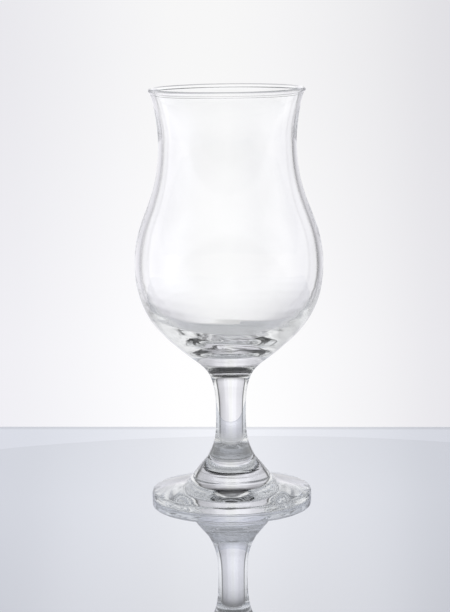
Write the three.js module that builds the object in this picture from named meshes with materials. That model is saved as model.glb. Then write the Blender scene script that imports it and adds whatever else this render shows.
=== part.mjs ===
import * as THREE from 'three';

// Clear stemmed cocktail goblet: a blown bowl, a waisted solid stem and a pressed foot, fused end to end.
// Millimetres, +Z up, origin on the axis where the foot meets the table.
// A lean is the outline's slope in degrees off the upward axis, positive outwards.
// A reach says how far a lean holds into a smooth run, as a share of the straight way to the run's other end.

// Foot: round disc with an upright edge, a sloping top, a fillet into a raised cone and a hollow underneath.
const FOOT_RADIUS = 35.2;
const FOOT_EDGE_THICKNESS = 3.6;
const EDGE_BOTTOM_ROUND = 1;
const EDGE_TOP_ROUND = 1.2;
const FOOT_TOP_LEAN = -75;
const FILLET_OUTER_RADIUS = 20.5;
const FILLET_INNER_RADIUS = 15.5;
const FILLET_REACH = 0.4;
const FOOT_CONE_LEAN = -40;
const FOOT_HEIGHT = 17.7;
const REST_RING_WIDTH = 3;
const HOLLOW_DEPTH = 1.4;

// Fused joint of foot and stem.
const FOOT_JOINT_RADIUS = 10.85;

// Stem: drawn in to a waist between its two joints.
const STEM_LENGTH = 36.3;
const STEM_FOOT_LEAN = -32;
const STEM_FOOT_REACH = 0.39;
const WAIST_RADIUS = 6.55;
const WAIST_ABOVE_FOOT = 19.2;
const WAIST_REACH = 0.37;
const STEM_BOWL_REACH = 0.31;

// Fused joint of stem and bowl: the outline runs through it without a break.
const BOWL_JOINT_RADIUS = 8.9;
const BOWL_JOINT_LEAN = 23.5;
const BOWL_JOINT_REACH = 0.38;

// Bowl, outside: cone over the joint, full belly, drawn-in neck, flared wall up to the lip.
const CONE_RADIUS = 18.3;
const CONE_LEAN = 51.8;
const CONE_RISE = 9.5;
const CONE_REACH = 0.33;
const BELLY_RADIUS = 41.05;
const BELLY_ABOVE_CONE = 39.85;
const BELLY_LOWER_REACH = 0.46;
const BELLY_UPPER_REACH = 0.41;
const NECK_RADIUS = 29.9;
const NECK_ABOVE_BELLY = 53.1;
const NECK_LOWER_REACH = 0.49;
const NECK_UPPER_REACH = 0.23;
const RIM_RADIUS = 33.9;
const RIM_ABOVE_NECK = 23.55;
const FLARE_LEAN = 22;
const FLARE_REACH = 0.25;

// Lip: a fire-polished bead that overhangs the flared wall on the outside, over a small undercut.
const BEAD_THICKNESS = 1.9;
const BEAD_OVERHANG = 0.7;
const BEAD_UNDER_LEAN = 62;
const BEAD_INNER_LEAN = 12;
const UNDERCUT_RISE = 0.21;
const UNDERCUT_REACH = 0.4;

// Bowl, inside: the wall thickens from the neck down, and a dished floor meets it over a heavy solid base.
const NECK_WALL = 1.85;
const BELLY_WALL = 2.5;
const INNER_BELLY_REACH = 0.49;
const CORNER_RADIUS = 20;
const CORNER_RISE = 3.6;
const CORNER_LEAN = 55;
const CORNER_FLOOR_REACH = 0.35;
const CORNER_WALL_REACH = 0.3;
const BASE_THICKNESS = 14;
const FLOOR_REACH = 0.4;

// Facets round the axis, and along the outline for short, middling and long runs.
const FACETS = 64;
const SHORT = 4;
const MIDDLING = 6;
const LONG = 11;

// Heights of the joints and of the bowl's turning points, stacked from the table up.
const footJointZ = FOOT_HEIGHT;
const waistZ = footJointZ + WAIST_ABOVE_FOOT;
const bowlJointZ = footJointZ + STEM_LENGTH;
const floorZ = bowlJointZ + BASE_THICKNESS;
const coneZ = bowlJointZ + CONE_RISE;
const bellyZ = coneZ + BELLY_ABOVE_CONE;
const neckZ = bellyZ + NECK_ABOVE_BELLY;
const rimZ = neckZ + RIM_ABOVE_NECK;

const radians = THREE.MathUtils.degToRad;

function at(radius, z) {
  return new THREE.Vector2(radius, z);
}

function last(points) {
  return points[points.length - 1];
}

// Unit direction of a lean in the outline's plane.
function heading(lean) {
  return at(Math.sin(radians(lean)), Math.cos(radians(lean)));
}

// Smooth run between two outline points, each with its lean and reach.
function run(start, startLean, startReach, end, endLean, endReach, steps) {
  const span = start.distanceTo(end);
  const leave = start.clone().addScaledVector(heading(startLean), startReach * span);
  const arrive = end.clone().addScaledVector(heading(endLean), -endReach * span);
  return new THREE.CubicBezierCurve(start, leave, arrive, end).getPoints(steps);
}

// Circular arc from one angle to another, in degrees from the outward radius.
function arc(centre, radius, fromAngle, toAngle, steps) {
  const curve = new THREE.EllipseCurve(
    centre.x, centre.y, radius, radius, radians(fromAngle), radians(toAngle), fromAngle > toAngle,
  );
  return curve.getPoints(steps);
}

// Outline made of runs that each start where the last one ended.
function chain(...runs) {
  return runs.flatMap((points, index) => (index === 0 ? points : points.slice(1)));
}

// Closed body of revolution about +Z, in clear glass.
// The outline goes from the axis, up the outside, to the axis.
function turned(name, outline) {
  const geometry = new THREE.LatheGeometry(outline, FACETS);
  geometry.rotateX(Math.PI / 2);
  const glass = new THREE.MeshStandardMaterial({
    color: 0xe6eaee,
    roughness: 0.02,
    metalness: 0,
    transparent: true,
    opacity: 0.35,
  });
  const mesh = new THREE.Mesh(geometry, glass);
  mesh.name = name;
  return mesh;
}

function makeFoot() {
  const heelCentre = at(FOOT_RADIUS - EDGE_BOTTOM_ROUND, EDGE_BOTTOM_ROUND);
  const browCentre = at(FOOT_RADIUS - EDGE_TOP_ROUND, FOOT_EDGE_THICKNESS - EDGE_TOP_ROUND);
  const heel = arc(heelCentre, EDGE_BOTTOM_ROUND, -90, 0, SHORT);
  const brow = arc(browCentre, EDGE_TOP_ROUND, 0, -FOOT_TOP_LEAN, SHORT);
  const hollowRadius = heelCentre.x - REST_RING_WIDTH;
  const domeRadius = (hollowRadius ** 2 + HOLLOW_DEPTH ** 2) / (2 * HOLLOW_DEPTH);
  const domeAngle = THREE.MathUtils.radToDeg(Math.acos(hollowRadius / domeRadius));
  const hollow = arc(at(0, HOLLOW_DEPTH - domeRadius), domeRadius, 90, domeAngle, SHORT);
  const joint = at(FOOT_JOINT_RADIUS, footJointZ);
  const topRise = (last(brow).x - FILLET_OUTER_RADIUS) / Math.tan(radians(-FOOT_TOP_LEAN));
  const coneDrop = (FILLET_INNER_RADIUS - joint.x) / Math.tan(radians(-FOOT_CONE_LEAN));
  const filletOuter = at(FILLET_OUTER_RADIUS, last(brow).y + topRise);
  const filletInner = at(FILLET_INNER_RADIUS, joint.y - coneDrop);
  const fillet = run(
    filletOuter, FOOT_TOP_LEAN, FILLET_REACH, filletInner, FOOT_CONE_LEAN, FILLET_REACH, MIDDLING,
  );
  return turned('foot', [...hollow, ...heel, ...brow, ...fillet, joint, at(0, footJointZ)]);
}

function makeStem() {
  const foot = at(FOOT_JOINT_RADIUS, footJointZ);
  const waist = at(WAIST_RADIUS, waistZ);
  const bowl = at(BOWL_JOINT_RADIUS, bowlJointZ);
  const lower = run(foot, STEM_FOOT_LEAN, STEM_FOOT_REACH, waist, 0, WAIST_REACH, MIDDLING);
  const upper = run(waist, 0, WAIST_REACH, bowl, BOWL_JOINT_LEAN, STEM_BOWL_REACH, MIDDLING);
  return turned('stem', [at(0, footJointZ), ...chain(lower, upper), at(0, bowlJointZ)]);
}

function makeBowl() {
  const joint = at(BOWL_JOINT_RADIUS, bowlJointZ);
  const cone = at(CONE_RADIUS, coneZ);
  const belly = at(BELLY_RADIUS, bellyZ);
  const neck = at(NECK_RADIUS, neckZ);
  const beadRadius = BEAD_THICKNESS / 2;
  const beadCentre = at(RIM_RADIUS - beadRadius, rimZ - beadRadius);
  const bead = chain(
    arc(beadCentre, beadRadius, -BEAD_UNDER_LEAN, 0, SHORT),
    arc(beadCentre, beadRadius, 0, 90, SHORT),
    arc(beadCentre, beadRadius, 90, 180 - BEAD_INNER_LEAN, SHORT),
  );
  const undercut = at(RIM_RADIUS - BEAD_OVERHANG, bead[0].y - UNDERCUT_RISE);
  const outside = chain(
    run(joint, BOWL_JOINT_LEAN, BOWL_JOINT_REACH, cone, CONE_LEAN, CONE_REACH, SHORT),
    run(cone, CONE_LEAN, CONE_REACH, belly, 0, BELLY_LOWER_REACH, LONG),
    run(belly, 0, BELLY_UPPER_REACH, neck, 0, NECK_LOWER_REACH, LONG),
    run(neck, 0, NECK_UPPER_REACH, undercut, FLARE_LEAN, FLARE_REACH, MIDDLING),
    run(undercut, FLARE_LEAN, UNDERCUT_REACH, bead[0], BEAD_UNDER_LEAN, UNDERCUT_REACH, SHORT),
  );

  const innerNeck = at(NECK_RADIUS - NECK_WALL, neckZ);
  const innerBelly = at(BELLY_RADIUS - BELLY_WALL, bellyZ);
  const corner = at(CORNER_RADIUS, floorZ + CORNER_RISE);
  const inside = chain(
    run(at(0, floorZ), 90, FLOOR_REACH, corner, CORNER_LEAN, CORNER_FLOOR_REACH, MIDDLING),
    run(corner, CORNER_LEAN, CORNER_WALL_REACH, innerBelly, 0, INNER_BELLY_REACH, LONG),
    run(innerBelly, 0, BELLY_UPPER_REACH, innerNeck, 0, NECK_LOWER_REACH, LONG),
    run(innerNeck, 0, NECK_UPPER_REACH, last(bead), BEAD_INNER_LEAN, FLARE_REACH, MIDDLING),
  );
  return turned('bowl', [at(0, bowlJointZ), ...chain(outside, bead, inside.reverse())]);
}

const goblet = new THREE.Group();
goblet.add(makeFoot(), makeStem(), makeBowl());

export default goblet;
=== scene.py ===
"""Clear stemmed goblet in its studio: three fused pieces of glass, a pale glossy table and the camera.

Lengths are metres. +Z is up, the goblet's axis is the Z axis and it stands on z = 0.
"""

from __future__ import annotations

import logging
import math
from dataclasses import dataclass
from enum import Enum, IntEnum
from typing import Mapping, Sequence, Union

import bpy
import numpy as np
from mathutils import Matrix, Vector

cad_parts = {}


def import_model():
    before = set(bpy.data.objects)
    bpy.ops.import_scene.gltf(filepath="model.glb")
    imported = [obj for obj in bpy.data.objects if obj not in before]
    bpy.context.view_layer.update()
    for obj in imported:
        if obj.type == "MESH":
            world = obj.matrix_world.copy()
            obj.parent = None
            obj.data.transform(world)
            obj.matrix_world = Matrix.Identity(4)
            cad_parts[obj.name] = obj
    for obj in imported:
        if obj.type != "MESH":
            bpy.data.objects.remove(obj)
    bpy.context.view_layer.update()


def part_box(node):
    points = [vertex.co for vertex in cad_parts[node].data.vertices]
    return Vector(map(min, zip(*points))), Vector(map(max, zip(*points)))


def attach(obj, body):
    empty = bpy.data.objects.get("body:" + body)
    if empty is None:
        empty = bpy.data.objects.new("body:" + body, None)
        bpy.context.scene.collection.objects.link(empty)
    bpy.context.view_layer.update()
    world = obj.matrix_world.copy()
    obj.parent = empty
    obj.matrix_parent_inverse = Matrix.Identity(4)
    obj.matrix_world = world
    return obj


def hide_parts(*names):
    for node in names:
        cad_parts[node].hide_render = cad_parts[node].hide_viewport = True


LOG = logging.getLogger("goblet")
BODY = "root"
IMAGE_HEIGHT = 612
SENSOR = 36.0
ON_AXIS = 1e-9
WAVE_FADE = 0.75


class Skin(IntEnum):
    """Material slot of a stretch of outline."""

    GLASS = 0
    JOINT = 1


class Ray(Enum):
    """Kinds of ray that see the studio as a picture."""

    CAMERA = "Is Camera Ray"
    GLOSSY = "Is Glossy Ray"
    THROUGH = "Is Transmission Ray"


Feed = Union["Signal", bpy.types.NodeSocket, float, Sequence[float]]


class Signal:
    """A shader socket that takes part in Python arithmetic: every operator adds one Math node."""

    def __init__(self, graph: "Graph", socket: bpy.types.NodeSocket) -> None:
        """Wraps a socket of a graph."""
        self.graph = graph
        self.socket = socket

    def __add__(self, other: Feed) -> "Signal":
        """Sum."""
        return self.graph.math("ADD", self, other)

    __radd__ = __add__

    def __sub__(self, other: Feed) -> "Signal":
        """Difference."""
        return self.graph.math("SUBTRACT", self, other)

    def __rsub__(self, other: Feed) -> "Signal":
        """Difference from a number."""
        return self.graph.math("SUBTRACT", other, self)

    def __mul__(self, other: Feed) -> "Signal":
        """Product."""
        return self.graph.math("MULTIPLY", self, other)

    __rmul__ = __mul__

    def __truediv__(self, other: Feed) -> "Signal":
        """Quotient."""
        return self.graph.math("DIVIDE", self, other)

    def __rtruediv__(self, other: Feed) -> "Signal":
        """Quotient of a number."""
        return self.graph.math("DIVIDE", other, self)

    def __pow__(self, other: Feed) -> "Signal":
        """Power."""
        return self.graph.math("POWER", self, other)


class Graph:
    """A node tree that is written from empty."""

    def __init__(self, tree: bpy.types.NodeTree) -> None:
        """Empties the tree."""
        self.tree = tree
        tree.nodes.clear()

    def make(
        self,
        kind: str,
        settings: Mapping[str, object] | None = None,
        inputs: Mapping[int | str, Feed] | None = None,
    ) -> bpy.types.Node:
        """Adds one node.

        Args:
            kind: the node's type.
            settings: the node's own settings, set first.
            inputs: values or links for its sockets, by number or name.

        Returns:
            The new node.
        """
        node = self.tree.nodes.new(kind)
        for name, value in (settings or {}).items():
            setattr(node, name, value)
        for key, feed in (inputs or {}).items():
            socket = node.inputs[key]
            if isinstance(feed, Signal):
                self.tree.links.new(feed.socket, socket)
            elif isinstance(feed, bpy.types.NodeSocket):
                self.tree.links.new(feed, socket)
            else:
                socket.default_value = feed
        return node

    def signal(self, node: bpy.types.Node, output: int | str = 0) -> Signal:
        """One output of a node, ready for arithmetic."""
        return Signal(self, node.outputs[output])

    def math(self, operation: str, *feeds: Feed) -> Signal:
        """Adds a Math node.

        Args:
            operation: Blender's name of the operation.
            feeds: its operands in order.

        Returns:
            The node's result.
        """
        return self.signal(self.make("ShaderNodeMath", {"operation": operation}, dict(enumerate(feeds))))

    def ramp(self, value: Signal, stops: Sequence[Stop]) -> bpy.types.Node:
        """Smooth run of light through stops.

        Args:
            value: what is looked up.
            stops: the stops in order of place.

        Returns:
            The ramp node.
        """
        first, last = stops[0].place, stops[-1].place
        node = self.make("ShaderNodeValToRGB", {}, {0: (value - first) * (1.0 / (last - first))})
        band = node.color_ramp
        band.interpolation = "B_SPLINE"
        for stop in stops[1:-1]:
            band.elements.new((stop.place - first) / (last - first))
        for element, stop in zip(band.elements, stops):
            element.color = stop.colour
        return node

    def ease(self, value: Feed, low: float, high: float, at_low: float, at_high: float) -> Signal:
        """Smooth step of a value from one level to another.

        Args:
            value: what is stepped.
            low: where the step starts.
            high: where it ends.
            at_low: level up to the start.
            at_high: level past the end.

        Returns:
            The level.
        """
        inputs = {"Value": value, "From Min": low, "From Max": high, "To Min": at_low, "To Max": at_high}
        node = self.make("ShaderNodeMapRange", {"interpolation_type": "SMOOTHSTEP"}, inputs)
        return self.signal(node)


@dataclass(frozen=True)
class Stop:
    """Level and tint of the light at one place of a ramp."""

    place: float
    level: float
    tint: tuple[float, float, float] = (1.0, 1.0, 1.0)

    @property
    def colour(self) -> tuple[float, float, float, float]:
        """Tint at its level."""
        return (*(self.level * part for part in self.tint), 1.0)


@dataclass(frozen=True)
class Turn:
    """A point where an outline turns, with its lean in degrees off the upward axis, positive outwards."""

    radius: float
    height: float
    lean: float = 0.0

    @property
    def place(self) -> np.ndarray:
        """Radius and height."""
        return np.array([self.radius, self.height])

    @property
    def heading(self) -> np.ndarray:
        """Unit direction of the lean."""
        return np.array([math.sin(math.radians(self.lean)), math.cos(math.radians(self.lean))])


def run(start: Turn, start_reach: float, end: Turn, end_reach: float, steps: int) -> np.ndarray:
    """Smooth run between two turns.

    Formula: the cubic curve of four points, which are the start, the start pushed along its lean, the end
    pulled back along its lean, and the end. The pushes are shares of the distance between the turns.

    Args:
        start: first turn.
        start_reach: push at the start.
        end: last turn.
        end_reach: pull at the end.
        steps: number of steps.

    Returns:
        steps + 1 rows of radius and height.
    """
    span = float(np.linalg.norm(end.place - start.place))
    leave = start.place + start.heading * start_reach * span
    arrive = end.place - end.heading * end_reach * span
    t = np.linspace(0.0, 1.0, steps + 1)[:, None]
    s = 1.0 - t
    return s**3 * start.place + 3 * t * s**2 * leave + 3 * t**2 * s * arrive + t**3 * end.place


def arc(centre: Sequence[float], radius: float, start: float, end: float, steps: int) -> np.ndarray:
    """Circular arc: the centre plus the radius along a direction that turns evenly.

    Args:
        centre: radius and height of the centre.
        radius: the arc's radius.
        start: first direction, in degrees from the outward radius.
        end: last direction.
        steps: number of steps.

    Returns:
        steps + 1 rows of radius and height.
    """
    angle = np.radians(np.linspace(start, end, steps + 1))
    return np.asarray(centre) + radius * np.stack([np.cos(angle), np.sin(angle)], axis=1)


def straight(start: Sequence[float], end: Sequence[float], steps: int) -> np.ndarray:
    """Straight stretch in even steps.

    Args:
        start: first radius and height.
        end: last radius and height.
        steps: number of steps.

    Returns:
        steps + 1 rows of radius and height.
    """
    return np.linspace(np.asarray(start, float), np.asarray(end, float), steps + 1)


def chain(*runs: np.ndarray) -> np.ndarray:
    """Joins runs that each start where the last one ended."""
    return np.concatenate([runs[0]] + [points[1:] for points in runs[1:]])


@dataclass(frozen=True)
class Wave:
    """One slow wave of a hot-worked surface: depth, lobes round the axis, lobes per metre of height, phase."""

    depth: float
    lobes: int
    climb: float
    phase: float


@dataclass(frozen=True)
class Stretch:
    """One smooth stretch of an outline, with its skin and the waves worked into it."""

    points: np.ndarray
    skin: Skin = Skin.GLASS
    waves: tuple[Wave, ...] = ()

    def swell(self, angle: np.ndarray) -> np.ndarray:
        """Depth of the waves over the stretch.

        Formula: each wave is its depth times one less than the sine of lobes times the angle plus climb
        times the height in turns plus its phase, so it only ever sinks into the glass. Their sum fades to
        nothing at both ends with the sine of the share of the stretch passed, to the power WAVE_FADE.

        Args:
            angle: directions round the axis, as a column.

        Returns:
            Offsets along the outward normal, one row for each angle.
        """
        count = len(self.points)
        fade = np.sin(np.pi * np.linspace(0.0, 1.0, count)) ** WAVE_FADE
        height = self.points[None, :, 1]
        total = np.zeros((len(angle), count))
        for wave in self.waves:
            turn = wave.lobes * angle + 2 * np.pi * wave.climb * height + wave.phase
            total += wave.depth * (np.sin(turn) - 1.0)
        return total * fade

    def surface(self, angle: np.ndarray) -> tuple[np.ndarray, np.ndarray]:
        """The stretch carried round the axis.

        Formula: each outline point, moved by the swell along the outline's normal, is turned through every
        angle. Normals are the cross product of the change with angle and the change along the outline.

        Args:
            angle: directions round the axis, as a column.

        Returns:
            Places and unit normals, both shaped angles by points by 3.
        """
        along = np.gradient(self.points, axis=0, edge_order=2)
        along /= np.linalg.norm(along, axis=1, keepdims=True)
        swell = self.swell(angle)
        radius = self.points[:, 0] + swell * along[:, 1]
        height = self.points[:, 1] - swell * along[:, 0]
        places = np.stack([radius * np.cos(angle), radius * np.sin(angle), height], axis=2)
        round_axis = np.roll(places, -1, axis=0) - np.roll(places, 1, axis=0)
        tangent = np.stack([-np.sin(angle), np.cos(angle), np.zeros_like(angle)], axis=2)
        on_axis = self.points[:, 0] < ON_AXIS
        round_axis[:, on_axis] = tangent
        normals = np.cross(round_axis, np.gradient(places, axis=1, edge_order=2))
        return places, normals / np.linalg.norm(normals, axis=2, keepdims=True)


def turned_mesh(name: str, stretches: Sequence[Stretch], around: int) -> bpy.types.Mesh:
    """Closed body of revolution from stretches that follow one another from axis to axis.

    Formula: a grid of angles by outline points. Points on the axis are single vertices with a fan of triangles.

    Args:
        name: the mesh's name.
        stretches: the outline, from the axis, up the outside, back to the axis.
        around: number of angles.

    Returns:
        The mesh, with its own normals, UV map and skins.
    """
    angle = (2 * np.pi * np.arange(around) / around)[:, None]
    index = np.arange(around)
    following = np.roll(index, -1)
    rings: list[np.ndarray] = []
    vertices: list[np.ndarray] = []
    faces: list[list[int]] = []
    corner_normals: list[np.ndarray] = []
    corner_uv: list[np.ndarray] = []
    skins: list[np.ndarray] = []
    total = 0
    lengths = [float(np.linalg.norm(np.diff(s.points, axis=0), axis=1).sum()) for s in stretches]
    passed = 0.0
    for order, stretch in enumerate(stretches):
        places, normals = stretch.surface(angle)
        steps = np.linalg.norm(np.diff(stretch.points, axis=0), axis=1)
        share = (passed + np.concatenate([[0.0], np.cumsum(steps)])) / sum(lengths)
        passed += lengths[order]
        first = 0 if order == 0 else 1
        ids = [] if order == 0 else [rings[-1]]
        for ring in range(first, len(stretch.points)):
            if stretch.points[ring, 0] < ON_AXIS:
                ids.append(np.full(around, total))
                vertices.append(places[:1, ring])
                total += 1
            else:
                ids.append(index + total)
                vertices.append(places[:, ring])
                total += around
        rings.extend(ids[0 if order == 0 else 1 :])
        for ring in range(len(ids) - 1):
            low, high = ids[ring], ids[ring + 1]
            corners = [(low, index, ring), (low[following], following, ring)]
            corners += [(high[following], following, ring + 1), (high, index, ring + 1)]
            turn = [index / around, (index + 1) / around, (index + 1) / around, index / around]
            keep = [0, 1, 2, 3]
            if low[0] == low[-1]:
                keep = [0, 2, 3]
            elif high[0] == high[-1]:
                keep = [0, 1, 2]
            faces.extend(np.stack([corners[k][0] for k in keep], axis=1).tolist())
            bent = [normals[corners[k][1], corners[k][2]] for k in keep]
            corner_normals.append(np.stack(bent, axis=1).reshape(-1, 3))
            uv = [np.stack([turn[k], np.full(around, share[corners[k][2]])], axis=1) for k in keep]
            corner_uv.append(np.stack(uv, axis=1).reshape(-1, 2))
            skins.append(np.full(around, int(stretch.skin)))
    mesh = bpy.data.meshes.new(name)
    mesh.from_pydata(np.concatenate(vertices).tolist(), [], faces)
    mesh.polygons.foreach_set("material_index", np.concatenate(skins).astype(np.int32))
    mesh.polygons.foreach_set("use_smooth", np.ones(len(faces), dtype=bool))
    layer = mesh.uv_layers.new(name="turned")
    layer.data.foreach_set("uv", np.concatenate(corner_uv).astype(np.float32).ravel())
    mesh.normals_split_custom_set(np.concatenate(corner_normals).tolist())
    mesh.update()
    return mesh


@dataclass(frozen=True)
class ClearGlass:
    """Fire-polished colourless glass with the faint unevenness of hot working."""

    name: str
    tint: tuple[float, float, float, float] = (0.999, 0.999, 0.999, 1.0)
    deep_tint: tuple[float, float, float, float] = (0.994, 0.997, 0.998, 1.0)
    refraction: float = 1.52
    polish: float = 0.0
    haze: float = 0.004
    cloud_scale: float = 55.0
    cloud_detail: float = 2.0
    depth_colour: tuple[float, float, float, float] = (0.5, 0.535, 0.575, 1.0)
    depth_density: float = 0.0

    def material(self) -> bpy.types.Material:
        """The glass.

        Returns:
            A material whose tint and haze drift slowly over the surface and which darkens with its depth.
        """
        made = bpy.data.materials.new(self.name)
        made.use_nodes = True
        graph = Graph(made.node_tree)
        place = graph.make("ShaderNodeTexCoord").outputs["Object"]
        drift = {"Vector": place, "Scale": self.cloud_scale, "Detail": self.cloud_detail}
        cloud = graph.signal(graph.make("ShaderNodeTexNoise", {}, drift))
        tint = graph.make(
            "ShaderNodeMix",
            {"data_type": "RGBA"},
            {"Factor": cloud, "A": self.tint, "B": self.deep_tint},
        )
        glass = graph.make(
            "ShaderNodeBsdfPrincipled",
            {},
            {
                "Base Color": tint.outputs["Result"],
                "Roughness": self.polish + cloud * self.haze,
                "IOR": self.refraction,
                "Transmission Weight": 1.0,
            },
        )
        absorbed = {"Color": self.depth_colour, "Density": self.depth_density}
        depth = graph.make("ShaderNodeVolumeAbsorption", {}, absorbed)
        graph.make("ShaderNodeOutputMaterial", {}, {"Surface": glass.outputs[0], "Volume": depth.outputs[0]})
        return made


@dataclass(frozen=True)
class FusedJoint:
    """Where two gathers melted into one another: light goes straight on."""

    name: str = "fused_joint"

    def material(self) -> bpy.types.Material:
        """The joint's face.

        Returns:
            A material that shows nothing.
        """
        made = bpy.data.materials.new(self.name)
        made.use_nodes = True
        graph = Graph(made.node_tree)
        clear = graph.make("ShaderNodeBsdfTransparent", {}, {"Color": (1.0, 1.0, 1.0, 1.0)})
        graph.make("ShaderNodeOutputMaterial", {}, {"Surface": clear.outputs[0]})
        return made


@dataclass
class Sizes:
    """Main sizes of the goblet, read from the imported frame."""

    foot_radius: float
    foot_height: float
    stem_height: float
    belly_radius: float
    rim_height: float

    @classmethod
    def from_frame(cls) -> "Sizes":
        """Reads the boxes of the three nodes.

        Returns:
            The sizes that the outlines are built on.
        """
        _, foot_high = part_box("foot")
        _, stem_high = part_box("stem")
        _, bowl_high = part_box("bowl")
        return cls(foot_high.x, foot_high.z, stem_high.z, bowl_high.x, bowl_high.z)


@dataclass
class GlassPiece:
    """One gather of glass, turned about the axis."""

    sizes: Sizes
    glass: bpy.types.Material
    joint: bpy.types.Material
    name: str = ""
    node: str = ""
    around: int = 192
    joint_steps: int = 6

    def stretches(self) -> list[Stretch]:
        """Outline of the piece."""
        raise NotImplementedError

    def build(self) -> bpy.types.Object:
        """Makes the piece and puts it in its node's place.

        Returns:
            The new object.
        """
        mesh = turned_mesh(self.name, self.stretches(), self.around)
        mesh.materials.append(self.glass)
        mesh.materials.append(self.joint)
        piece = bpy.data.objects.new(self.name, mesh)
        bpy.context.scene.collection.objects.link(piece)
        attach(piece, BODY)
        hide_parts(self.node)
        LOG.info("%s: %d faces", self.name, len(mesh.polygons))
        return piece


@dataclass
class Foot(GlassPiece):
    """Pressed foot: upright edge, flat sloping top, fillet, raised cone and a shallow hollow underneath."""

    name: str = "foot_glass"
    node: str = "foot"
    edge_thickness: float = 0.0036
    bottom_round: float = 0.001
    top_round: float = 0.0012
    top_lean: float = -75.0
    fillet_outer: float = 0.0205
    fillet_inner: float = 0.0155
    fillet_reach: float = 0.4
    cone_lean: float = -40.0
    joint_radius: float = 0.01085
    rest_ring_width: float = 0.003
    hollow_depth: float = 0.0014
    hollow_steps: int = 24
    ring_steps: int = 4
    heel_steps: int = 16
    wall_steps: int = 6
    brow_steps: int = 24
    slope_steps: int = 24
    cone_steps: int = 60
    hollow_waves: tuple[Wave, ...] = (Wave(0.00002, 6, 600.0, 0.4),)
    edge_waves: tuple[Wave, ...] = (Wave(0.00004, 31, 150.0, 0.3), Wave(0.00003, 19, 400.0, 1.1))
    top_waves: tuple[Wave, ...] = (
        Wave(0.000007, 1, 450.0, 0.4),
        Wave(0.000004, 2, 950.0, 1.9),
        Wave(0.000003, 3, 1400.0, 0.7),
    )

    def stretches(self) -> list[Stretch]:
        """Outline from the hollow, round the edge and up the cone to the joint.

        Returns:
            The stretches in that order.
        """
        radius = self.sizes.foot_radius
        heel_centre = (radius - self.bottom_round, self.bottom_round)
        heel = arc(heel_centre, self.bottom_round, -90.0, 0.0, self.heel_steps)
        inner = heel[0, 0] - self.rest_ring_width
        dome = (inner**2 + self.hollow_depth**2) / (2 * self.hollow_depth)
        fall = math.degrees(math.acos(inner / dome))
        hollow = arc((0.0, self.hollow_depth - dome), dome, 90.0, fall, self.hollow_steps)
        hollow[0, 0] = 0.0
        crown = (radius - self.top_round, self.edge_thickness - self.top_round)
        brow = arc(crown, self.top_round, 0.0, -self.top_lean, self.brow_steps)
        joint = Turn(self.joint_radius, self.sizes.foot_height, self.cone_lean)
        climb = math.tan(math.radians(90.0 + self.top_lean))
        rise = (brow[-1, 0] - self.fillet_outer) * climb
        outer = Turn(self.fillet_outer, brow[-1, 1] + rise, self.top_lean)
        drop = (self.fillet_inner - joint.radius) / math.tan(math.radians(-self.cone_lean))
        inner_turn = Turn(self.fillet_inner, joint.height - drop, self.cone_lean)
        edge = chain(heel, straight(heel[-1], brow[0], self.wall_steps), brow)
        top = chain(
            straight(brow[-1], outer.place, self.slope_steps),
            run(outer, self.fillet_reach, inner_turn, self.fillet_reach, self.cone_steps),
            straight(inner_turn.place, joint.place, self.cone_steps),
        )
        return [
            Stretch(hollow, Skin.GLASS, self.hollow_waves),
            Stretch(straight(hollow[-1], heel[0], self.ring_steps)),
            Stretch(edge, Skin.GLASS, self.edge_waves),
            Stretch(top, Skin.GLASS, self.top_waves),
            Stretch(straight(joint.place, (0.0, joint.height), self.joint_steps), Skin.JOINT),
        ]


@dataclass
class Stem(GlassPiece):
    """Solid stem, drawn in to a waist between its joints."""

    name: str = "stem_glass"
    node: str = "stem"
    foot_joint_radius: float = 0.01085
    foot_joint_lean: float = -32.0
    foot_joint_reach: float = 0.39
    waist_radius: float = 0.00655
    waist_rise: float = 0.0192
    waist_reach: float = 0.37
    bowl_joint_radius: float = 0.0089
    bowl_joint_lean: float = 23.5
    bowl_joint_reach: float = 0.31
    half_steps: int = 80

    def stretches(self) -> list[Stretch]:
        """Outline from the foot joint, through the waist, to the bowl joint.

        Returns:
            The stretches in that order.
        """
        low = Turn(self.foot_joint_radius, self.sizes.foot_height, self.foot_joint_lean)
        waist = Turn(self.waist_radius, self.sizes.foot_height + self.waist_rise)
        high = Turn(self.bowl_joint_radius, self.sizes.stem_height, self.bowl_joint_lean)
        lower = run(low, self.foot_joint_reach, waist, self.waist_reach, self.half_steps)
        upper = run(waist, self.waist_reach, high, self.bowl_joint_reach, self.half_steps)
        return [
            Stretch(straight((0.0, low.height), low.place, self.joint_steps), Skin.JOINT),
            Stretch(chain(lower, upper)),
            Stretch(straight(high.place, (0.0, high.height), self.joint_steps), Skin.JOINT),
        ]


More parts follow.
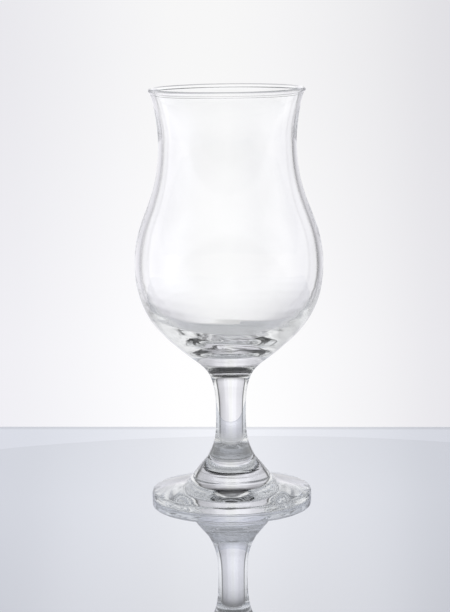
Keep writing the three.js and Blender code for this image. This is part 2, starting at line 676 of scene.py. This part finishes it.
@dataclass
class Bowl(GlassPiece):
    """Blown bowl: cone, belly, neck, flared lip, and a wall that thickens to a heavy base."""

    name: str = "bowl_glass"
    node: str = "bowl"
    joint_radius: float = 0.0089
    joint_lean: float = 23.5
    joint_reach: float = 0.38
    cone_radius: float = 0.0183
    cone_lean: float = 51.8
    cone_rise: float = 0.0095
    cone_reach: float = 0.33
    belly_above_cone: float = 0.03985
    belly_lower_reach: float = 0.46
    belly_upper_reach: float = 0.41
    neck_radius: float = 0.0299
    neck_below_rim: float = 0.02355
    neck_lower_reach: float = 0.49
    neck_upper_reach: float = 0.23
    rim_radius: float = 0.0339
    bead_thickness: float = 0.0019
    bead_under_lean: float = 62.0
    bead_inner_lean: float = 12.0
    bead_overhang: float = 0.0007
    undercut_rise: float = 0.00021
    undercut_reach: float = 0.4
    flare_lean: float = 22.0
    flare_reach: float = 0.25
    neck_wall: float = 0.00185
    belly_wall: float = 0.0025
    base_thickness: float = 0.014
    corner_radius: float = 0.02
    corner_rise: float = 0.0036
    corner_lean: float = 55.0
    floor_reach: float = 0.4
    corner_pull: float = 0.35
    corner_reach: float = 0.3
    inner_reach: float = 0.49
    cone_steps: int = 36
    lower_steps: int = 60
    upper_steps: int = 50
    flare_steps: int = 24
    undercut_steps: int = 12
    bead_steps: int = 48
    floor_steps: int = 40
    floor_waves: tuple[Wave, ...] = (Wave(0.00002, 5, 250.0, 2.4), Wave(0.00001, 6, 55.0, 0.6))

    def stretches(self) -> list[Stretch]:
        """Outline from the joint, up the outside, over the lip and down the inside to the floor.

        Returns:
            The stretches in that order.
        """
        sizes = self.sizes
        joint = Turn(self.joint_radius, sizes.stem_height, self.joint_lean)
        cone = Turn(self.cone_radius, sizes.stem_height + self.cone_rise, self.cone_lean)
        belly = Turn(sizes.belly_radius, cone.height + self.belly_above_cone)
        neck = Turn(self.neck_radius, sizes.rim_height - self.neck_below_rim)
        bead_radius = self.bead_thickness / 2
        bead_centre = (self.rim_radius - bead_radius, sizes.rim_height - bead_radius)
        bead_end = 180.0 - self.bead_inner_lean
        bead = arc(bead_centre, bead_radius, -self.bead_under_lean, bead_end, self.bead_steps)
        under = Turn(bead[0, 0], bead[0, 1], self.bead_under_lean)
        lip_in = Turn(bead[-1, 0], bead[-1, 1], self.bead_inner_lean)
        root = Turn(self.rim_radius - self.bead_overhang, under.height - self.undercut_rise, self.flare_lean)
        inner_neck = Turn(neck.radius - self.neck_wall, neck.height)
        inner_belly = Turn(belly.radius - self.belly_wall, belly.height)
        floor = Turn(0.0, sizes.stem_height + self.base_thickness, 90.0)
        corner = Turn(self.corner_radius, floor.height + self.corner_rise, self.corner_lean)
        outside = chain(
            run(joint, self.joint_reach, cone, self.cone_reach, self.cone_steps),
            run(cone, self.cone_reach, belly, self.belly_lower_reach, self.lower_steps),
            run(belly, self.belly_upper_reach, neck, self.neck_lower_reach, self.upper_steps),
            run(neck, self.neck_upper_reach, root, self.flare_reach, self.flare_steps),
            run(root, self.undercut_reach, under, self.undercut_reach, self.undercut_steps),
        )
        dish = chain(
            run(floor, self.floor_reach, corner, self.corner_pull, self.floor_steps),
            run(corner, self.corner_reach, inner_belly, self.inner_reach, self.lower_steps),
        )
        inside = chain(
            run(inner_belly, self.belly_upper_reach, inner_neck, self.neck_lower_reach, self.upper_steps),
            run(inner_neck, self.neck_upper_reach, lip_in, self.flare_reach, self.flare_steps),
        )
        return [
            Stretch(straight((0.0, joint.height), joint.place, self.joint_steps), Skin.JOINT),
            Stretch(chain(outside, bead, inside[::-1])),
            Stretch(dish[::-1], Skin.GLASS, self.floor_waves),
        ]


NEUTRAL = (1.0, 0.998, 1.0)
VIOLET = (0.955, 0.945, 1.0)
PALE_VIOLET = (0.965, 0.96, 1.0)
PALEST_VIOLET = (0.985, 0.98, 1.0)


@dataclass
class Sweep:
    """Light of the studio: white walls, a glowing backdrop between two narrow dark gaps, a dark ceiling."""

    around: tuple[Stop, ...] = (
        Stop(-180.0, 1.3),
        Stop(-118.0, 1.3),
        Stop(-102.0, 0.7),
        Stop(-78.0, 0.7),
        Stop(-66.0, 1.35),
        Stop(-46.5, 1.3),
        Stop(-44.0, 0.6),
        Stop(-42.5, 0.12),
        Stop(-40.5, 0.12),
        Stop(-39.0, 0.12),
        Stop(-37.0, 0.72, VIOLET),
        Stop(-34.5, 0.78, VIOLET),
        Stop(-25.0, 0.84, VIOLET),
        Stop(-13.0, 0.92, VIOLET),
        Stop(-8.0, 0.89, VIOLET),
        Stop(-5.0, 0.91, PALE_VIOLET),
        Stop(-0.8, 1.06, NEUTRAL),
        Stop(4.0, 0.92, PALEST_VIOLET),
        Stop(7.0, 0.79, VIOLET),
        Stop(12.0, 0.84, VIOLET),
        Stop(20.0, 0.72, VIOLET),
        Stop(30.0, 0.62, VIOLET),
        Stop(34.5, 0.5, VIOLET),
        Stop(36.5, 0.02),
        Stop(38.0, 0.02),
        Stop(39.5, 0.02),
        Stop(41.5, 0.6),
        Stop(44.0, 1.3),
        Stop(66.0, 1.35),
        Stop(126.0, 0.7),
        Stop(146.0, 0.7),
        Stop(180.0, 1.3),
    )
    upwards: tuple[Stop, ...] = (
        Stop(-1.0, 0.72),
        Stop(-0.45, 0.72),
        Stop(-0.42, 0.72),
        Stop(-0.36, 1.06),
        Stop(-0.33, 1.1),
        Stop(-0.2, 1.0),
        Stop(-0.13, 0.985),
        Stop(-0.02, 0.9),
        Stop(0.1, 1.0),
        Stop(0.23, 1.08),
        Stop(0.32, 0.83),
        Stop(0.44, 0.6),
        Stop(0.56, 0.14),
        Stop(0.68, 0.03),
        Stop(1.0, 0.03),
    )
    front_lift: float = 0.9
    panel_near: tuple[float, float] = (1.5, 5.0)
    panel_far: tuple[float, float] = (12.0, 17.0)
    panel_foot: tuple[float, float] = (-0.36, -0.14)
    panel_level: float = 0.17
    panel_tilt: float = 0.006
    panel_tone: tuple[float, float, float, float] = (0.8, 0.8, 0.8, 1.0)
    screen: tuple[float, float] = (20.0, 32.0)
    screen_level: tuple[float, float] = (0.035, 0.11)
    flag_near: tuple[float, float] = (24.0, 32.0)
    flag_far: tuple[float, float] = (48.0, 56.0)

    def build(self) -> None:
        """Writes the light into the world.

        Formula: the tint and level of a direction are looked up by its bearing, in degrees clockwise from
        straight behind the goblet, and its level again by the height of the unit direction. Two panels beside
        the backdrop, hung clear of the table and higher on the right, add light between their near and far
        edges, and a faint screen adds some all round and more on the right. They are out of the picture, so the
        camera does not see them, and it sees plain wall in place of the two gaps.
        """
        world = bpy.data.worlds.new("studio")
        world.use_nodes = True
        bpy.context.scene.world = world
        graph = Graph(world.node_tree)
        look = graph.make("ShaderNodeTexCoord").outputs["Generated"]
        split = graph.make("ShaderNodeSeparateXYZ", {}, {0: look})
        x, y, z = (graph.signal(split, k) for k in range(3))
        bearing = graph.math("ARCTAN2", x, y) * math.degrees(1.0)
        walls = graph.ramp(bearing, self.around)
        front = graph.math("MINIMUM", y, 0.0) * self.front_lift
        height = graph.ramp(z + front, self.upwards)
        level = graph.signal(height, "Color")
        back = graph.make("ShaderNodeBackground", {}, {"Color": walls.outputs["Color"], "Strength": level})
        aside = graph.math("ABSOLUTE", bearing)
        panel = graph.ease(aside, *self.panel_near, 0.0, self.panel_level)
        panel = panel * graph.ease(aside, *self.panel_far, 1.0, 0.0)
        panel = panel + graph.ease(bearing, *self.screen, *self.screen_level)
        hung = graph.ease(z - bearing * self.panel_tilt, *self.panel_foot, 0.0, 1.0)
        camera = graph.signal(graph.make("ShaderNodeLightPath"), Ray.CAMERA.value)
        soft = {"Color": self.panel_tone, "Strength": panel * hung * (1.0 - camera) * level}
        fill = graph.make("ShaderNodeBackground", {}, soft)
        both = graph.make("ShaderNodeAddShader", {}, {0: back.outputs[0], 1: fill.outputs[0]})
        plain = graph.make("ShaderNodeBackground", {}, {"Color": (*NEUTRAL, 1.0), "Strength": level})
        flags = graph.ease(aside, *self.flag_near, 0.0, 1.0) * graph.ease(aside, *self.flag_far, 1.0, 0.0)
        layers = {0: flags * camera, 1: both.outputs[0], 2: plain.outputs[0]}
        shown = graph.make("ShaderNodeMixShader", {}, layers)
        graph.make("ShaderNodeOutputWorld", {}, {"Surface": shown.outputs[0]})


@dataclass
class Table:
    """Round pale table top with a mirror gloss, on a wider pale board with a straight far edge."""

    radius: float = 0.302
    far: float = 0.1196
    thickness: float = 0.003
    gap: float = 0.00005
    facets: int = 256
    rim_steps: int = 16
    under_steps: int = 4
    top_steps: int = 8
    board_far: float = 0.153
    board_half_width: float = 0.6
    board_near: float = -0.8
    board_turn: float = -3.6
    board_thickness: float = 0.02
    gloss: float = 0.88
    gloss_above: float = 0.5
    gloss_facing: tuple[float, float] = (0.35, 0.72)
    gloss_roughness: float = 0.015
    body_tone: tuple[float, float, float, float] = (0.8, 0.82, 0.86, 1.0)
    own_tone: tuple[float, float, float, float] = (0.95, 0.97, 1.0, 1.0)
    body_level: float = 0.7
    # painted shadow of the foot: the table's own glow drops to shade_level near the axis and is full again past
    # shade_outer
    shade_inner: float = 0.018
    shade_outer: float = 0.028
    shade_level: float = 0.5
    mirror_tone: tuple[float, float, float, float] = (0.79, 0.803, 0.847, 1.0)
    # painted shade: the mirror's reflection darkens to this tone towards the left and right sides of the table
    side_shade_tone: tuple[float, float, float, float] = (0.59, 0.61, 0.65, 1.0)
    side_shade_span: tuple[float, float] = (0.0, 0.1)
    board_gain: float = 1.09
    edge_depth: tuple[float, float] = (0.008, 0.003)
    edge_gain: float = 0.92

    def build(self) -> None:
        """Makes both boards."""
        edge = self.thickness / 2
        top = -self.gap
        rim = arc((self.radius - edge, top - edge), edge, -90.0, 90.0, self.rim_steps)
        outline = [
            Stretch(straight((0.0, top - 2 * edge), rim[0], self.under_steps)),
            Stretch(rim),
            Stretch(straight(rim[-1], (0.0, top), self.top_steps)),
        ]
        mesh = turned_mesh("table", outline, self.facets)
        mesh.transform(Matrix.Translation((0.0, self.far - self.radius, 0.0)))
        mesh.materials.append(self.material("table_gloss", 1.0, 1.0))
        high = -self.thickness - 2 * self.gap
        low = high - self.board_thickness
        half, near, far = self.board_half_width, self.board_near, self.board_far
        plan = [(-half, near), (half, near), (half, far), (-half, far)]
        corners = [(x, y, z) for z in (low, high) for x, y in plan]
        sides = [[k, (k + 1) % 4, (k + 1) % 4 + 4, k + 4] for k in range(4)]
        board = bpy.data.meshes.new("board")
        board.from_pydata(corners, [], [[3, 2, 1, 0], [4, 5, 6, 7]] + sides)
        board.transform(Matrix.Rotation(math.radians(self.board_turn), 4, "Z"))
        board.materials.append(self.material("board_gloss", self.board_gain, self.edge_gain))
        for part in (mesh, board):
            made = bpy.data.objects.new(part.name, part)
            bpy.context.scene.collection.objects.link(made)

    def material(self, name: str, gain: float, edge_gain: float) -> bpy.types.Material:
        """Mirror gloss over a pale body, clearer the flatter it is seen, with painted shade that darkens the
        mirror towards the sides.

        Args:
            name: the material's name.
            gain: how much brighter the mirror is than the table's.
            edge_gain: the same along the board's far edge.

        Returns:
            The material, whose body has a plain level of its own towards the camera, mirrors and glass, dimmed
            by a painted shadow under the goblet's foot.
        """
        made = bpy.data.materials.new(name)
        made.use_nodes = True
        graph = Graph(made.node_tree)
        rays = graph.make("ShaderNodeLightPath")
        camera, glossy, through = (graph.signal(rays, ray.value) for ray in Ray)
        seen = graph.math("MINIMUM", camera + glossy + through, 1.0)
        body = graph.make("ShaderNodeBsdfDiffuse", {}, {"Color": self.body_tone})
        place = graph.make("ShaderNodeTexCoord").outputs["Object"]
        split = graph.make("ShaderNodeSeparateXYZ", {}, {0: place})
        x, y = (graph.signal(split, k) for k in range(2))
        away = graph.math("SQRT", x * x + y * y)
        # painted shadow: the glow is dimmed in a disc under the goblet's foot, where the foot's shade would
        # fall
        clear = graph.ease(away, self.shade_inner, self.shade_outer, self.shade_level, 1.0)
        glow = {"Color": self.own_tone, "Strength": seen * clear * self.body_level}
        own = graph.make("ShaderNodeEmission", {}, glow)
        pale = graph.make("ShaderNodeAddShader", {}, {0: body.outputs[0], 1: own.outputs[0]})
        # painted shade: the mirror tone darkens with distance to either side of the axis
        side_shade = graph.ease(graph.math("ABSOLUTE", x), *self.side_shade_span, 0.0, 1.0)
        tone = graph.make(
            "ShaderNodeMix",
            {"data_type": "RGBA"},
            {"Factor": side_shade, "A": self.mirror_tone, "B": self.side_shade_tone},
        )
        turn = math.radians(self.board_turn)
        inwards = self.board_far - (y * math.cos(turn) - x * math.sin(turn))
        strength = graph.ease(inwards, self.edge_depth[1], self.edge_depth[0], edge_gain, gain)
        scaled = {0: tone.outputs["Result"], "Scale": strength}
        lit = graph.make("ShaderNodeVectorMath", {"operation": "SCALE"}, scaled)
        polish = {"Color": lit.outputs[0], "Roughness": self.gloss_roughness}
        mirror = graph.make("ShaderNodeBsdfGlossy", {}, polish)
        facing = graph.signal(graph.make("ShaderNodeLayerWeight"), "Facing")
        share = graph.ease(facing, *self.gloss_facing, self.gloss_above, self.gloss)
        both = graph.make("ShaderNodeMixShader", {}, {0: share, 1: pale.outputs[0], 2: mirror.outputs[0]})
        graph.make("ShaderNodeOutputMaterial", {}, {"Surface": both.outputs[0]})
        return made


@dataclass
class View:
    """Camera at the photograph's height, distance and angle."""

    distance: float = 0.9
    height: float = 0.2318
    pitch: float = 9.26
    roll: float = -0.75
    side: float = -0.00197
    focal_pixels: float = 2089.2
    near_clip: float = 0.01

    def build(self) -> bpy.types.Object:
        """Places the camera.

        Returns:
            The camera.
        """
        data = bpy.data.cameras.new("camera")
        data.sensor_width = SENSOR
        data.lens = SENSOR * self.focal_pixels / IMAGE_HEIGHT
        data.clip_start = self.near_clip
        camera = bpy.data.objects.new("camera", data)
        place = Matrix.Translation((self.side, -self.distance, self.height))
        tilt = Matrix.Rotation(math.radians(90.0 - self.pitch), 4, "X")
        roll = Matrix.Rotation(math.radians(self.roll), 4, "Z")
        camera.matrix_world = place @ tilt @ roll
        bpy.context.scene.collection.objects.link(camera)
        bpy.context.scene.camera = camera
        return camera


@dataclass
class Studio:
    """Light, table and camera."""

    sweep: Sweep
    table: Table
    view: View
    bounces: int = 256
    clear_bounces: int = 64

    def build(self) -> None:
        """Sets up the view, the light and the table, with bounces enough for light caught in the wall."""
        scene = bpy.context.scene
        scene.view_settings.view_transform = "Standard"
        scene.cycles.max_bounces = self.bounces
        scene.cycles.glossy_bounces = self.bounces
        scene.cycles.transmission_bounces = self.bounces
        scene.cycles.transparent_max_bounces = self.clear_bounces
        self.view.build()
        self.sweep.build()
        self.table.build()
        LOG.info("studio ready")


def main() -> None:
    """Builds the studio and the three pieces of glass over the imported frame."""
    logging.basicConfig(level=logging.INFO, format="%(name)s: %(message)s")
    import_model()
    sizes = Sizes.from_frame()
    Studio(Sweep(), Table(), View()).build()
    blown = ClearGlass("blown_glass", depth_density=2.5).material()
    pressed = ClearGlass("pressed_glass", haze=0.012, depth_density=6.0).material()
    joint = FusedJoint().material()
    for piece in (Foot(sizes, pressed, joint), Stem(sizes, pressed, joint), Bowl(sizes, blown, joint)):
        piece.build()


if __name__ == "__main__":
    main()
